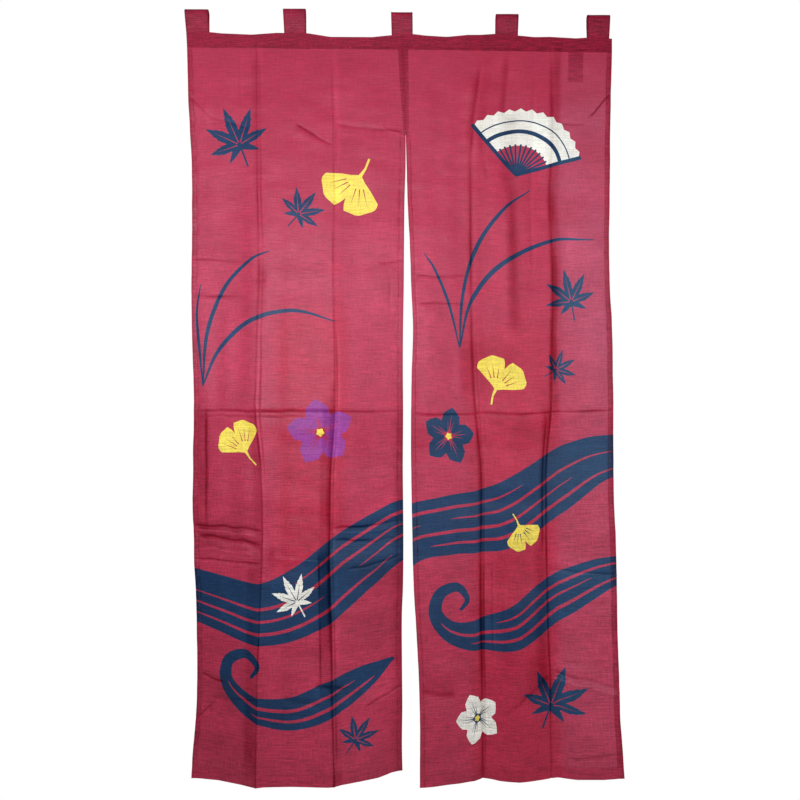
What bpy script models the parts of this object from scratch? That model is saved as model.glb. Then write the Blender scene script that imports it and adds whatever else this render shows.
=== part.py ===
"""A split door curtain (noren): two folded cloth panels sewn under one heading strip with five tab loops.

The origin is on the line of the rod that the tabs take, at the middle tab. +Z is up, +X is to the
viewer's right, and the front of the cloth faces -Y. Sizes are in metres, and the tables are in millimetres.
"""
import math
from collections import namedtuple

import bmesh
import bpy

MM = 0.001

# Layers, from the front back: panel, heading strip, tab. The tab's two layers meet on the rod's plane, Y = 0.
CLOTH = 1.2 * MM
HEM_EXTRA = 1.0 * MM
CLEARANCE = 0.3 * MM
TAB_BASE = 2.2 * MM
STRIP_BACK = -TAB_BASE / 2 - CLEARANCE
STRIP_FRONT = STRIP_BACK - CLOTH
PANEL_BACK = STRIP_FRONT - CLEARANCE
PANEL_FRONT = PANEL_BACK - CLOTH

# Drops are depths below the rod's line: the heading's top edge, its bottom edge and the cloth's hem.
TOP = 40 * MM
BAND = 68 * MM
BOTTOM = 1524 * MM

SIDE_HEM = 10 * MM
BOTTOM_HEM = 23 * MM
HEM_STEP = 1.5 * MM
HEM_START = BAND + 3 * MM

# The packing folds split a panel into thirds across and into halves down.
THIRD = 141 * MM
HALF_FOLD = 792 * MM

# The sewn seam between the panels. The cloth lies flat near it, and starts to move over EASE below it.
SEAM_X = 8 * MM
SEAM_END = 236 * MM
SEAM_FLAT = 12 * MM
SEAM_SIDE = 50 * MM
EASE = 120 * MM

LOOP_INSIDE = 6.0 * MM
LOOP_STEPS = 10
FORK_RISE = 3 * MM
TAB_SEWN = 25 * MM

# How the grids are laid out: the rows of a panel, of the heading strip and of the label.
ROW_PITCH = 38 * MM
STRIP_ROWS = (0.0, 0.5, 0.98)
STRIP_INSET = 1 * MM
LABEL_STEPS = 3
SHARP_ANGLE = math.radians(40)

# Shares of a panel's third, a crease's length and a gather's length over which each one dies away.
FOLD_SOFTNESS = 0.07
CREASE_FADE = 0.2
GATHER_FADE = 0.3

LABEL_TOP = 60 * MM
LABEL_BOTTOM = 128 * MM
LABEL_LEFT = 335 * MM
LABEL_RIGHT = 366 * MM
LABEL_LEAN = 1.2 * MM

# Edges that are not level, as (x, drop) pairs from left to right.
HEADING_TOP = [(-427, 32), (-380, 32), (-356, 34.5), (-296, 37), (-248, 33.5), (-187, 34), (-164, 37.5),
               (-140, 41.5), (-56, 42), (-16, 38), (28, 36), (52, 39), (94, 41.5), (136, 37.5), (160, 37.5),
               (190, 35.5), (244, 39.5), (268, 42), (300, 41.5), (352, 44.5), (374, 43), (424, 45)]
HEADING_BOTTOM = [(-427, 63), (-130, 66), (20, 67), (200, 70), (424, 73)]
LEFT_HEM = [(-418, 1525), (-360, 1522), (-300, 1524.5), (-281, 1526), (-266, 1524), (-190, 1524.5),
            (-137, 1526), (-114, 1523.5), (-80, 1526), (-44, 1527), (-18, 1523), (5, 1524)]
RIGHT_HEM = [(39, 1530), (60, 1531), (150, 1531.5), (167, 1527), (185, 1529.5), (200, 1533), (222, 1535.5),
             (240, 1537), (258, 1535), (285, 1532), (304, 1529), (318, 1526.5), (335, 1528.5), (355, 1530.5),
             (410, 1529), (449, 1525.5)]

# One row for each level of a panel: its four lines' x, then how far each stands forward of the heading.
# The lines are the panel's left edge, its two long packing folds and its right edge.
Level = namedtuple("Level", "drop edge fold_1 fold_2 end edge_out fold_1_out fold_2_out end_out")
LEFT_LEVELS = [
    Level(40, -427, -286, -138, 5.7, 0, 0, 0, 0),
    Level(70, -426, -286, -138, 5.8, 0, 0, 0, 0),
    Level(150, -423.6, -285, -136, 8.3, 0, 2, 2, 0),
    Level(236, -420.4, -284, -134, 10.9, -1, 5, 4, 0),
    Level(300, -417, -283, -133, 11.2, -2, 7, 6, -1),
    Level(368, -417, -282, -132, 9.1, -3, 9, 8, -3),
    Level(460, -417.3, -279, -133, 8.2, -4, 12, 11, -6),
    Level(548, -418.6, -279, -133, 7.5, -4, 14, 13, -8),
    Level(628, -417.4, -282, -131, 6.2, -4, 16, 16, -10),
    Level(708, -415, -284, -130, 5.8, -4, 18, 19, -13),
    Level(792, -412, -285, -129, 6.3, -3, 20, 21, -15),
    Level(868, -415, -277, -134, 5.9, -4, 23, 24, -18),
    Level(908, -414.7, -273, -137, 5.7, -4, 24, 25, -19),
    Level(988, -416.5, -271, -138, 6.5, -5, 26, 27, -21),
    Level(1058, -413.4, -271, -138, 6.9, -5, 28, 29, -23),
    Level(1146, -409.7, -274, -136, 6.1, -6, 30, 31, -25),
    Level(1208, -408, -276, -134, 3.8, -6, 31, 32, -27),
    Level(1308, -406.6, -279, -132, 4.1, -6, 34, 34, -29),
    Level(1388, -408.5, -280, -131, 4.8, -6, 36, 35, -31),
    Level(1468, -414.5, -281, -130, 4.0, -3, 37, 36, -33),
    Level(1524, -418, -281, -129, 5.1, -2, 38, 37, -34)]
RIGHT_LEVELS = [
    Level(40, 6.0, 168, 303, 424, 0, 0, 0, 0),
    Level(70, 6.1, 168, 303, 424, 0, 0, 0, 0),
    Level(150, 8.6, 157, 303, 422, 0, -1, -1, 0),
    Level(236, 11.2, 145, 304, 420.3, 0, -2, -3, 0),
    Level(300, 13.4, 142, 302, 419.9, 1, -3, -4, 0),
    Level(368, 15.2, 142, 300, 419.2, 3, -3, -4, 0),
    Level(460, 19.8, 142, 305, 417.8, 6, -4, -5, 0),
    Level(548, 22.8, 143, 307, 420.2, 9, -4, -5, 0),
    Level(628, 26.0, 144, 305, 424.9, 11, -4, -6, 0),
    Level(708, 23.5, 147, 303, 426, 13, -4, -6, 0),
    Level(792, 22.1, 152, 301, 426, 15, -5, -7, 0),
    Level(868, 21.8, 159, 296, 427.6, 16, -5, -7, 0),
    Level(908, 22.4, 162, 294, 427.4, 17, -5, -7, 0),
    Level(988, 23.5, 163, 294, 429.4, 19, -6, -7, 0),
    Level(1058, 25.0, 163, 295, 432.4, 20, -6, -8, 0),
    Level(1146, 27.8, 163, 297, 434.5, 22, -6, -9, 0),
    Level(1208, 31.8, 163, 298, 435.1, 23, -6, -9, 0),
    Level(1308, 37.3, 164, 302, 438, 25, -7, -10, 0),
    Level(1388, 39.6, 165, 303, 440.2, 27, -7, -10, 0),
    Level(1468, 39.5, 166, 304, 445.5, 28, -7, -10, 0),
    Level(1524, 39.2, 166, 304, 449.4, 29, -7, -10, 0)]

# Creases that run across: where each starts and ends, how far it stands forward, and its reach up and down.
Crease = namedtuple("Crease", "x_1 drop_1 x_2 drop_2 out reach")
CREASES = [
    Crease(-440, 792, 20, 790, 5, 70),
    Crease(10, 795, 460, 784, 5, 70),
    Crease(-440, 1022, -270, 1030, -4, 60),
    Crease(-140, 1018, 20, 1016, -4, 60),
    Crease(-440, 1092, -270, 1094, 4, 45),
    Crease(-140, 1100, 20, 1084, 4, 45),
    Crease(-390, 1364, -290, 1364, -3, 50),
    Crease(-226, 1364, -160, 1352, 3, 45),
    Crease(-75, 1372, 10, 1350, 4, 45),
    Crease(300, 1324, 440, 1352, 4, 50),
    Crease(30, 1344, 110, 1352, -4, 50),
    Crease(-430, 170, -380, 204, 3, 40),
    Crease(-130, 218, 0, 240, -2, 40)]

# Soft gathers that run down: their place, their ends, how far they stand forward and their half width.
Gather = namedtuple("Gather", "x drop_1 drop_2 out width")
GATHERS = [
    Gather(152, 80, 300, 3, 16),
    Gather(212, 80, 420, -3, 20),
    Gather(240, 300, 700, 3, 24),
    Gather(306, 80, 380, 3, 18),
    Gather(240, 1060, 1580, 8, 42),
    Gather(196, 1060, 1300, -3, 18),
    Gather(-160, 1060, 1400, -4, 20),
    Gather(-350, 300, 900, -3, 40),
    Gather(370, 400, 1100, -4, 40)]

# The tabs: their sides at the loop and at the heading, and the height of the loop's outer top.
Tab = namedtuple("Tab", "name top_left top_right base_left base_right top")
TABS = [
    Tab("tab_1", -431, -384, -427, -381, 15.0),
    Tab("tab_2", -234, -189, -231, -187, 16.5),
    Tab("tab_3", -18, 25, -16, 26, 9.2),
    Tab("tab_4", 192, 237, 190, 236, 5.4),
    Tab("tab_5", 375, 420, 374, 419, 3.8)]

# How the columns of a panel's grid are shared out: 0, 1, 2 and 3 are its four lines.
COLUMNS = [0.25, 0.5, 0.75, 0.9, 0.96, 1.0, 1.04, 1.1, 1.3, 1.5, 1.7, 1.9, 1.96, 2.0, 2.04, 2.1, 2.3, 2.5, 2.75]


def clear_scene():
    """Remove every object that the scene starts with."""
    for item in list(bpy.data.objects):
        bpy.data.objects.remove(item, do_unlink=True)


def cloth_material(name, colour):
    """A matt woven finish of one colour."""
    material = bpy.data.materials.new(name)
    material.use_nodes = True
    shader = material.node_tree.nodes["Principled BSDF"]
    shader.inputs["Base Color"].default_value = (*colour, 1.0)
    shader.inputs["Roughness"].default_value = 0.85
    shader.inputs["Metallic"].default_value = 0.0
    material.diffuse_color = (*colour, 1.0)
    return material


def straight(points, place):
    """Read a list of (place, value) pairs, in straight runs between them."""
    if place <= points[0][0]:
        return points[0][1]
    for (place_1, value_1), (place_2, value_2) in zip(points, points[1:]):
        if place <= place_2:
            return value_1 + (value_2 - value_1) * (place - place_1) / (place_2 - place_1)
    return points[-1][1]


def smooth(points, place):
    """Read a list of (place, value) pairs along one smooth curve through them."""
    last = len(points) - 1
    place = min(max(place, points[0][0]), points[last][0])
    index = 0
    while index < last - 1 and place > points[index + 1][0]:
        index += 1
    run = points[index + 1][0] - points[index][0]
    step = (place - points[index][0]) / run
    slopes = []
    for middle in (index, index + 1):
        before = points[max(middle - 1, 0)]
        after = points[min(middle + 1, last)]
        slopes.append((after[1] - before[1]) / (after[0] - before[0]) * run)
    value_1, value_2 = points[index][1], points[index + 1][1]
    cube, square = step ** 3, step ** 2
    return (value_1 * (2 * cube - 3 * square + 1) + slopes[0] * (cube - 2 * square + step)
            + value_2 * (3 * square - 2 * cube) + slopes[1] * (cube - square))


def rise(value):
    """Go smoothly from 0 to 1 as the value does."""
    value = min(max(value, 0.0), 1.0)
    return value * value * (3 - 2 * value)


def line_values(levels, names, drop):
    """Values of a panel's four lines at one drop, in metres: straight beside the seam, smooth below it."""
    read = straight if drop <= SEAM_END else smooth
    return [read([(row.drop, getattr(row, name)) for row in levels], drop / MM) * MM for name in names]


def height(x, drop, hem):
    """Height of a point of the cloth, between the uneven heading and the uneven hem."""
    top = straight(HEADING_TOP, x / MM) * MM
    band = straight(HEADING_BOTTOM, x / MM) * MM
    bottom = straight(hem, x / MM) * MM
    if drop < BAND:
        return -(top + (band - top) * (drop - TOP) / (BAND - TOP))
    return -(band + (bottom - band) * (drop - BAND) / (BOTTOM - BAND))


def crease_out(x, drop):
    """How far the creases across and the soft gathers bring a point forward."""
    out = 0.0
    for crease in CREASES:
        along = (x / MM - crease.x_1) / (crease.x_2 - crease.x_1)
        middle = crease.drop_1 + (crease.drop_2 - crease.drop_1) * along
        away = abs(drop / MM - middle) / crease.reach
        ends = rise(along / CREASE_FADE + 0.5) * rise((1.0 - along) / CREASE_FADE + 0.5)
        out += crease.out * ends * max(0.0, 1.0 - away)
    for gather in GATHERS:
        across = (x / MM - gather.x) / gather.width
        along = (drop / MM - gather.drop_1) / (gather.drop_2 - gather.drop_1)
        ends = rise(along / GATHER_FADE) * rise((1.0 - along) / GATHER_FADE)
        out += gather.out * ends * math.exp(-across * across)
    return out * MM * rise((drop - BAND) / EASE)


def seam_hold(x, drop):
    """0 along the sewn seam in the middle, where the two panels lie together, and 1 away from it."""
    near = rise((abs(x - SEAM_X) - SEAM_FLAT) / SEAM_SIDE)
    below = rise((drop - SEAM_END) / EASE)
    return max(near, below)


def panel_point(levels, hem, share, drop):
    """The point of a panel's front face at a share of its width, 0 to 3, and a drop."""
    places = line_values(levels, ("edge", "fold_1", "fold_2", "end"), drop)
    depths = line_values(levels, ("edge_out", "fold_1_out", "fold_2_out", "end_out"), drop)
    x = straight(list(enumerate(places)), share)
    around = [straight(list(enumerate(depths)), share + shift) for shift in (-FOLD_SOFTNESS, 0, 0, FOLD_SOFTNESS)]
    out = sum(around) / len(around) + crease_out(x, drop) * seam_hold(x, drop)
    return x, PANEL_FRONT - out, height(x, drop, hem)


def panel_columns():
    """Shares of the width at which the grid has its columns, with both lines of each side hem."""
    hem = SIDE_HEM / THIRD
    step = HEM_STEP / THIRD
    return [0.0, hem, hem + step] + COLUMNS + [3 - hem - step, 3 - hem, 3.0]


def panel_rows():
    """Drops at which the grid has its rows, with the heading's, the seam's, the folds' and the hem's lines."""
    fixed = [TOP, BAND, HEM_START, HEM_START + HEM_STEP, SEAM_END, HALF_FOLD,
             BOTTOM - BOTTOM_HEM - HEM_STEP, BOTTOM - BOTTOM_HEM, BOTTOM]
    rows = []
    for start, end in zip(fixed, fixed[1:]):
        count = max(1, round((end - start) / ROW_PITCH))
        rows += [start + (end - start) * step / count for step in range(count)]
    return rows + [BOTTOM]


def is_hem(share, drop, columns):
    """True where the cloth is turned over on itself."""
    side = share <= columns[1] or share >= columns[-2]
    foot = drop >= BOTTOM - BOTTOM_HEM
    return (side or foot) and drop >= HEM_START + HEM_STEP


def thin_solid(name, front, back, material):
    """Make a closed sheet from two grids of points, its front and its back."""
    mesh = bmesh.new()
    sides = [[[mesh.verts.new(point) for point in row] for row in grid] for grid in (front, back)]
    rows, columns = len(front), len(front[0])
    for side, grid in enumerate(sides):
        for row in range(rows - 1):
            for column in range(columns - 1):
                corners = [grid[row][column], grid[row + 1][column],
                           grid[row + 1][column + 1], grid[row][column + 1]]
                mesh.faces.new(corners if side == 0 else corners[::-1])
    rim = [(0, column) for column in range(columns - 1)]
    rim += [(row, columns - 1) for row in range(rows - 1)]
    rim += [(rows - 1, column) for column in range(columns - 1, 0, -1)]
    rim += [(row, 0) for row in range(rows - 1, 0, -1)]
    for (row_1, column_1), (row_2, column_2) in zip(rim, rim[1:] + rim[:1]):
        mesh.faces.new([sides[0][row_1][column_1], sides[0][row_2][column_2],
                        sides[1][row_2][column_2], sides[1][row_1][column_1]])
    return finish_object(name, mesh, material)


def finish_object(name, mesh, material):
    """Turn a closed bmesh into an object of the scene, with its faces pointing out."""
    bmesh.ops.recalc_face_normals(mesh, faces=mesh.faces)
    bmesh.ops.triangulate(mesh, faces=mesh.faces)
    data = bpy.data.meshes.new(name)
    mesh.to_mesh(data)
    mesh.free()
    data.shade_smooth()
    data.set_sharp_from_angle(angle=SHARP_ANGLE)
    data.materials.append(material)
    item = bpy.data.objects.new(name, data)
    bpy.context.scene.collection.objects.link(item)
    return item


def make_panel(name, levels, hem, material):
    """One hanging panel, thicker on its back where its side and bottom hems are turned over."""
    columns = panel_columns()
    front, back = [], []
    for drop in panel_rows():
        row = [panel_point(levels, hem, share, drop) for share in columns]
        front.append(row)
        back.append([(x, y + CLOTH + (HEM_EXTRA if is_hem(share, drop, columns) else 0.0), z)
                     for (x, y, z), share in zip(row, columns)])
    return thin_solid(name, front, back, material)


def make_heading(material):
    """The strip that faces the back of both panels along their top edge."""
    left = LEFT_LEVELS[0].edge * MM
    right = RIGHT_LEVELS[0].end * MM
    inner = sorted({place * MM for place, _ in HEADING_TOP + HEADING_BOTTOM})
    places = [left] + [x for x in inner if left + STRIP_INSET < x < right - STRIP_INSET] + [right]
    front, back = [], []
    for share in STRIP_ROWS:
        drop = TOP + (BAND - TOP) * share
        front.append([(x, STRIP_FRONT, height(x, drop, LEFT_HEM)) for x in places])
        back.append([(x, STRIP_BACK, height(x, drop, LEFT_HEM)) for x in places])
    return thin_solid("heading_strip", front, back, material)


def tab_section(rod, fork, base):
    """Outer and inner outlines of a tab seen from its end, as (y, z): up its front, over and down its back."""
    outer = [(-TAB_BASE / 2, base), (-TAB_BASE / 2, fork)]
    inner = [(0.0, fork + FORK_RISE)] * 2
    for step in range(LOOP_STEPS + 1):
        turn = math.pi * step / LOOP_STEPS
        for outline, radius in ((outer, LOOP_INSIDE + CLOTH), (inner, LOOP_INSIDE)):
            outline.append((-radius * math.cos(turn), rod + radius * math.sin(turn)))
    outer += [(TAB_BASE / 2, fork), (TAB_BASE / 2, base)]
    inner += [(0.0, fork + FORK_RISE)] * 2
    return outer, inner


def make_tab(tab, material):
    """A band doubled into a loop, its ends sewn together behind the heading strip."""
    middle = (tab.base_left + tab.base_right) / 2 * MM
    fork = height(middle, TOP, LEFT_HEM)
    base = fork - TAB_SEWN
    top = tab.top * MM
    outer, inner = tab_section(top - LOOP_INSIDE - CLOTH, fork, base)
    mesh = bmesh.new()
    ends = []
    for base_x, top_x in ((tab.base_left * MM, tab.top_left * MM), (tab.base_right * MM, tab.top_right * MM)):
        made = {}
        for y, z in outer + inner:
            if (y, z) not in made:
                x = base_x + (top_x - base_x) * (z - base) / (top - base)
                made[y, z] = mesh.verts.new((x, y, z))
        ends.append(([made[point] for point in outer], [made[point] for point in inner]))
    (outer_1, inner_1), (outer_2, inner_2) = ends
    count = len(outer)
    for now in range(count):
        after = (now + 1) % count
        corner_sets = [
            [outer_1[now], outer_1[after], inner_1[after], inner_1[now]],
            [outer_2[now], inner_2[now], inner_2[after], outer_2[after]],
            [outer_1[now], outer_2[now], outer_2[after], outer_1[after]],
            [inner_1[now], inner_1[after], inner_2[after], inner_2[now]]]
        for corners in corner_sets:
            corners = list(dict.fromkeys(corners))
            if len(corners) > 2:
                mesh.faces.new(corners)
    return finish_object(tab.name, mesh, material)


def make_label(material):
    """The small blank cloth piece that hangs behind the right panel from the heading strip."""
    front, back = [], []
    for step in range(LABEL_STEPS + 1):
        share = step / LABEL_STEPS
        drop = LABEL_TOP + (LABEL_BOTTOM - LABEL_TOP) * share
        y = STRIP_BACK + CLEARANCE + LABEL_LEAN * share * share
        front.append([(x, y, -drop) for x in (LABEL_LEFT, LABEL_RIGHT)])
        back.append([(x, y + CLOTH, -drop) for x in (LABEL_LEFT, LABEL_RIGHT)])
    return thin_solid("back_label", front, back, material)


def main():
    """Build the whole curtain."""
    clear_scene()
    panel_cloth = cloth_material("panel_cloth", (0.46, 0.045, 0.10))
    heading_cloth = cloth_material("heading_cloth", (0.30, 0.024, 0.07))
    tab_cloth = cloth_material("tab_cloth", (0.29, 0.022, 0.068))
    label_cloth = cloth_material("label_cloth", (0.80, 0.76, 0.70))
    make_panel("left_panel", LEFT_LEVELS, LEFT_HEM, panel_cloth)
    make_panel("right_panel", RIGHT_LEVELS, RIGHT_HEM, panel_cloth)
    make_heading(heading_cloth)
    for tab in TABS:
        make_tab(tab, tab_cloth)
    make_label(label_cloth)


main()
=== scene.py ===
"""The looks of a split door curtain (noren): thin slubbed cloth with a printed autumn design.

Sizes in the tables are in millimetres. A point of the cloth has a flat place, as it lies before hanging:
x from the middle seam to the right, and its drop below the rod's line.
"""
import math
from collections import namedtuple

import bmesh
import bpy
import numpy as np
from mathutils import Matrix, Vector, kdtree
from mathutils.geometry import delaunay_2d_cdt


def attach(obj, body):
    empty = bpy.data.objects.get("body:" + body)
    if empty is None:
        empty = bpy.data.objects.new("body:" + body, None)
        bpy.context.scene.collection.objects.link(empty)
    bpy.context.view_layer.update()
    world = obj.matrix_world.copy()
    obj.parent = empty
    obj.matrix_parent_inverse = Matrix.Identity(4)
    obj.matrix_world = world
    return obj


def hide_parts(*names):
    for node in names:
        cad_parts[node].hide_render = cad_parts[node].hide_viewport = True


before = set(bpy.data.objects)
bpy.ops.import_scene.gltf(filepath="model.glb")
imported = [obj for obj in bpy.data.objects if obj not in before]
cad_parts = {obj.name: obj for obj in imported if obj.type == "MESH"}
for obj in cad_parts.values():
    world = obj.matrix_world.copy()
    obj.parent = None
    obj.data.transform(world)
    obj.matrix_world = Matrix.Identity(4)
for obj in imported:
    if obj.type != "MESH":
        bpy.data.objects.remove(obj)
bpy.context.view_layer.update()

MM = 0.001

# The layers' planes, as in the solids.
SOLID_CLOTH = 1.2
CLEARANCE = 0.3
TAB_BASE = 2.2
STRIP_BACK = -TAB_BASE / 2 - CLEARANCE
STRIP_FRONT = STRIP_BACK - SOLID_CLOTH
PANEL_FRONT = STRIP_FRONT - CLEARANCE - SOLID_CLOTH

# The fine cloth: one layer, and where it is turned over at a hem.
CLOTH = 0.55
HEM_CLOTH = 1.35
HEM_DEPTH = np.array((0.0, HEM_CLOTH, 0.0))

# Flat places: the outer edges, and the drops of the top, the heading's foot, the slit's top and the bottom.
EDGE = 425
TOP, BAND, SEAM_END, BOTTOM = 40, 68, 236, 1524
SIDE_HEM, BOTTOM_HEM = 10, 23
FOOT = BOTTOM - BOTTOM_HEM
# The share of a fold's distance over which it is rounded, and the spacing of the cloth's points.
FOLD_SOFTNESS, GRID = 0.07, 5.0
# A tab: the inside radius of its loop, how far it is sewn in, half the thickness of its cloth, and the first
# seed of its wrinkles.
LOOP_INSIDE, TAB_SEWN, TAB_CLOTH, TAB_SEED = 6.0, 25, 0.42, 30
# How far each panel's edge moves to meet the other one along the seam.
SEAM_CLOSE = 0.165

# How much darker the doubled cloth is painted, partly the deeper colour of two layers and partly painted
# shade for the
# light that passes less through them: at the hems, and from the top to the end of the seam and the label,
# whose painted shadow falls through the cloth.
LEFT_HEM_SHARE, RIGHT_HEM_SHARE, SLIT_HEM_SHARE, FOOT_SHARE = 0.32, 0.50, 0.16, 0.12
SEAM_SHARE, LABEL_SHARE = (0.80, 0.46), (0.72, 0.46)
# The same for the heading and the tabs, from the left edge to the right, the rise to the right being painted
# shade.
HEADING_SHARE = (0.72, 1.0)
# Half the width of the darker strip along the seam on each side: at the top, and where the slit starts.
SEAM_WIDTHS = {-1: (10, 3), 1: (10, 8)}

Label = namedtuple("Label", "left right top bottom lean")
LABEL = Label(335, 366, 60, 128, 1.2)

HEADING_TOP = [(-427, 32), (-380, 32), (-356, 34.5), (-296, 37), (-248, 33.5), (-187, 34), (-164, 37.5),
               (-140, 41.5), (-56, 42), (-16, 38), (28, 36), (52, 39), (94, 41.5), (136, 37.5), (160, 37.5),
               (190, 35.5), (244, 39.5), (268, 42), (300, 41.5), (352, 44.5), (374, 43), (424, 45)]
HEADING_BOTTOM = [(-427, 63), (-130, 66), (20, 67), (200, 70), (424, 73)]
LEFT_HEM = [(-418, 1525), (-360, 1522), (-300, 1524.5), (-281, 1526), (-266, 1524), (-190, 1524.5),
            (-137, 1526), (-114, 1523.5), (-80, 1526), (-44, 1527), (-18, 1523), (5, 1524)]
RIGHT_HEM = [(39, 1530), (60, 1531), (150, 1531.5), (167, 1527), (185, 1529.5), (200, 1533), (222, 1535.5),
             (240, 1537), (258, 1535), (285, 1532), (304, 1529), (318, 1526.5), (335, 1528.5), (355, 1530.5),
             (410, 1529), (449, 1525.5)]

# One row for each level of a panel: the drop, the x of its four lines, and how far each stands forward.
LEFT_LEVELS = [
    (40, -427, -286, -138, 5.7, 0, 0, 0, 0), (70, -426, -286, -138, 5.8, 0, 0, 0, 0),
    (150, -423.6, -285, -136, 8.3, 0, 2, 2, 0), (236, -420.4, -284, -134, 10.9, -1, 5, 4, 0),
    (300, -417, -283, -133, 11.2, -2, 7, 6, -1), (368, -417, -282, -132, 9.1, -3, 9, 8, -3),
    (460, -417.3, -279, -133, 8.2, -4, 12, 11, -6), (548, -418.6, -279, -133, 7.5, -4, 14, 13, -8),
    (628, -417.4, -282, -131, 6.2, -4, 16, 16, -10), (708, -415, -284, -130, 5.8, -4, 18, 19, -13),
    (792, -412, -285, -129, 6.3, -3, 20, 21, -15), (868, -415, -277, -134, 5.9, -4, 23, 24, -18),
    (908, -414.7, -273, -137, 5.7, -4, 24, 25, -19), (988, -416.5, -271, -138, 6.5, -5, 26, 27, -21),
    (1058, -413.4, -271, -138, 6.9, -5, 28, 29, -23), (1146, -409.7, -274, -136, 6.1, -6, 30, 31, -25),
    (1208, -408, -276, -134, 3.8, -6, 31, 32, -27), (1308, -406.6, -279, -132, 4.1, -6, 34, 34, -29),
    (1388, -408.5, -280, -131, 4.8, -6, 36, 35, -31), (1468, -414.5, -281, -130, 4.0, -3, 37, 36, -33),
    (1524, -418, -281, -129, 5.1, -2, 38, 37, -34)]
RIGHT_LEVELS = [
    (40, 6.0, 168, 303, 424, 0, 0, 0, 0), (70, 6.1, 168, 303, 424, 0, 0, 0, 0),
    (150, 8.6, 157, 303, 422, 0, -1, -1, 0), (236, 11.2, 145, 304, 420.3, 0, -2, -3, 0),
    (300, 13.4, 142, 302, 419.9, 1, -3, -4, 0), (368, 15.2, 142, 300, 419.2, 3, -3, -4, 0),
    (460, 19.8, 142, 305, 417.8, 6, -4, -5, 0), (548, 22.8, 143, 307, 420.2, 9, -4, -5, 0),
    (628, 26.0, 144, 305, 424.9, 11, -4, -6, 0), (708, 23.5, 147, 303, 426, 13, -4, -6, 0),
    (792, 22.1, 152, 301, 426, 15, -5, -7, 0), (868, 21.8, 159, 296, 427.6, 16, -5, -7, 0),
    (908, 22.4, 162, 294, 427.4, 17, -5, -7, 0), (988, 23.5, 163, 294, 429.4, 19, -6, -7, 0),
    (1058, 25.0, 163, 295, 432.4, 20, -6, -8, 0), (1146, 27.8, 163, 297, 434.5, 22, -6, -9, 0),
    (1208, 31.8, 163, 298, 435.1, 23, -6, -9, 0), (1308, 37.3, 164, 302, 438, 25, -7, -10, 0),
    (1388, 39.6, 165, 303, 440.2, 27, -7, -10, 0), (1468, 39.5, 166, 304, 445.5, 28, -7, -10, 0),
    (1524, 39.2, 166, 304, 449.4, 29, -7, -10, 0)]

Crease = namedtuple("Crease", "x_1 drop_1 x_2 drop_2 out reach")
# Broad folds across, as in the solids.
CREASES = [Crease(*row) for row in (
    (-440, 792, 20, 790, 5, 70), (10, 795, 460, 784, 5, 70), (-440, 1022, -270, 1030, -4, 60),
    (-140, 1018, 20, 1016, -4, 60), (-440, 1092, -270, 1094, 4, 45), (-140, 1100, 20, 1084, 4, 45),
    (-390, 1364, -290, 1364, -3, 50), (-226, 1364, -160, 1352, 3, 45), (-75, 1372, 10, 1350, 4, 45),
    (300, 1324, 440, 1352, 4, 50), (30, 1344, 110, 1352, -4, 50), (-430, 170, -380, 204, 3, 40),
    (-130, 218, 0, 240, -2, 40))]
# Fine pressed creases, in flat places: the ends, the height and the half width.
FINE_CREASES = [Crease(*row) for row in (
    (-425, 792, 0, 790, -2.4, 2.9), (-425, 803, -190, 802, -0.8, 2.6), (0, 795, 425, 784, -2.2, 2.6),
    (-425, 1019, -284, 1027, -3.0, 3.2), (-416, 1040, -284, 1053, -3.6, 4.4),
    (-330, 1044, -286, 1060, -1.0, 3.0), (-420, 1029, -300, 1038, 2.2, 3.6),
    (-418, 1066, -300, 1071, 2.0, 3.8), (-425, 1087, -284, 1090, -2.8, 2.8),
    (-258, 1078, -144, 1088, 1.3, 3.4), (-134, 1022, 0, 1013, -2.2, 2.6), (-130, 1032, -10, 1026, 1.6, 3.2),
    (-134, 1044, 0, 1050, -2.0, 3.2), (-134, 1064, 0, 1058, 1.3, 3.4), (-100, 1102, -6, 1082, -2.4, 2.8),
    (-418, 1316, -364, 1331, -2.4, 3.4), (-390, 1366, -288, 1353, -2.6, 3.0),
    (-428, 1407, -386, 1370, -3.0, 2.8), (-172, 1328, -112, 1334, -2.4, 5.0),
    (-232, 1352, -160, 1366, -3.2, 8.5), (-238, 1388, -152, 1398, 2.4, 9.0),
    (-72, 1376, 0, 1350, -1.9, 3.0), (-92, 1462, -40, 1410, 1.2, 3.4), (300, 1322, 425, 1352, 3.4, 3.6),
    (306, 1310, 425, 1338, -1.2, 4.4), (320, 1286, 425, 1304, -0.8, 6.0), (196, 1392, 300, 1316, -2.4, 5.0),
    (8, 1340, 84, 1352, -2.6, 7.5), (300, 1106, 425, 1112, -1.4, 3.4), (330, 1484, 425, 1472, -1.3, 3.2),
    (380, 196, 425, 150, -1.9, 3.2), (318, 214, 372, 212, -1.2, 3.0), (164, 234, 182, 320, -1.8, 10),
    (-425, 162, -388, 201, -1.7, 3.0), (-390, 200, -300, 228, -1.2, 3.2), (-206, 222, -136, 260, -1.6, 3.2),
    (-128, 218, -4, 232, -1.2, 4.0), (-44, 224, 8, 246, 1.0, 3.0), (-210, 240, -146, 260, 1.3, 8.0),
    (-425, 489, -304, 497, -1.4, 2.9), (-310, 530, -274, 534, -0.7, 4.0), (-50, 494, 0, 492, -1.0, 2.8),
    (-425, 562, -310, 566, -1.7, 3.4), (12, 520, 140, 516, -0.9, 3.4), (12, 574, 140, 572, -0.9, 3.4))]

Fold = namedtuple("Fold", "x drop_1 drop_2 out width")
# Soft gathers that run down, as in the solids.
GATHERS = [Fold(*row) for row in (
    (152, 80, 300, 3, 16), (212, 80, 420, -3, 20), (240, 300, 700, 3, 24), (306, 80, 380, 3, 18),
    (240, 1060, 1580, 8, 42), (196, 1060, 1300, -3, 18), (-160, 1060, 1400, -4, 20),
    (-350, 300, 900, -3, 40), (370, 400, 1100, -4, 40))]
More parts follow.
